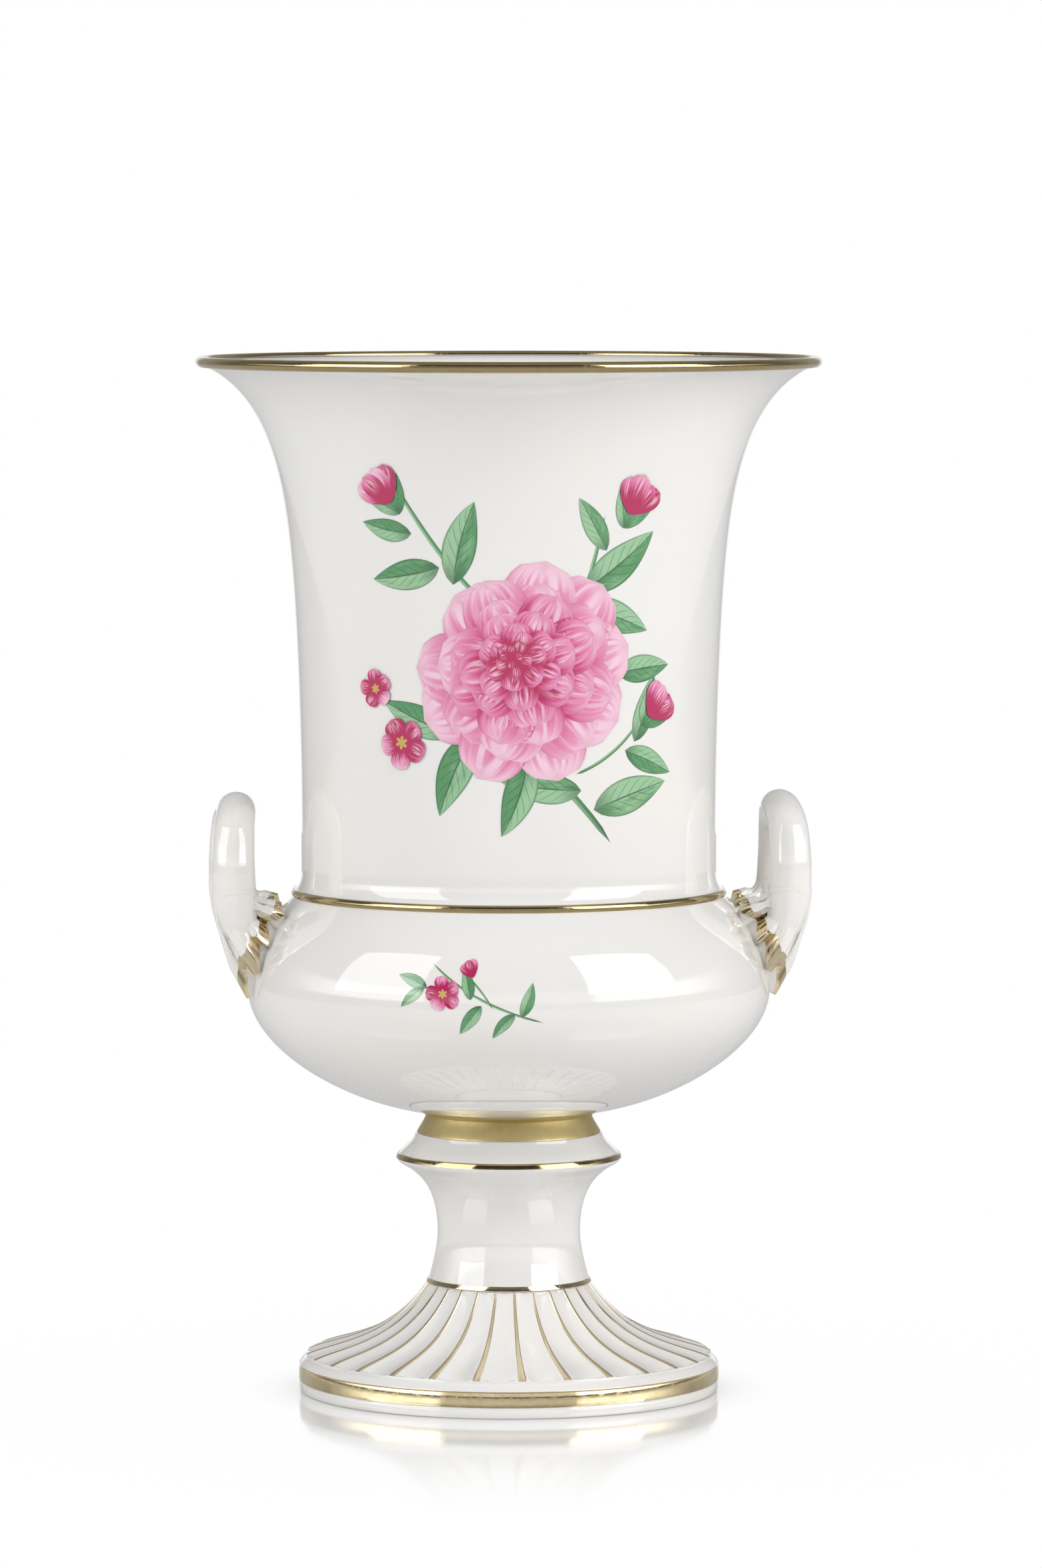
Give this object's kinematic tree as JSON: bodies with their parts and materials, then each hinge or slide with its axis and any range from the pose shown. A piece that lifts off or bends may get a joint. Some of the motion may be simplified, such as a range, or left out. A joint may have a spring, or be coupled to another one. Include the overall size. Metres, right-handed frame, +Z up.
{
  "type": "krater vase",
  "caption": "Tall footed krater vase with a flared neck, rounded bowl, upright loop handles on acanthus leaves and a ribbed foot, bolted together at the ankle.",
  "frame": {"origin": "centre of the foot ring's underside, on the axis of the vase", "axes": "+Z up along the axis, -Y the front with the larger painted spray, handles at +X and -X"},
  "size_m": [0.229, 0.229, 0.38],
  "materials": {
    "porcelain": "clear gloss glaze",
    "gilt": "burnished gold on porcelain",
    "steel": "zinc-plated",
    "felt": "matt felt"
  },
  "bodies": {
    "root": {"foot": "porcelain", "rib_gilding": "gilt", "plinth_band": "gilt", "stem": "porcelain", "collar_line": "gilt", "ankle_moulding": "gilt", "bowl": "porcelain", "joint_gasket": "felt", "neck": "porcelain", "shoulder_bead": "gilt", "lip_roll": "gilt", "handle_right": "porcelain", "leaf_right_front": "gilt", "leaf_right_back": "gilt", "handle_left": "porcelain", "leaf_left_front": "gilt", "leaf_left_back": "gilt", "upper_pad": "felt", "upper_washer": "steel", "lower_pad": "felt", "lower_washer": "steel", "bolt": "steel", "nut": "steel"}
  },
  "joints": []
}
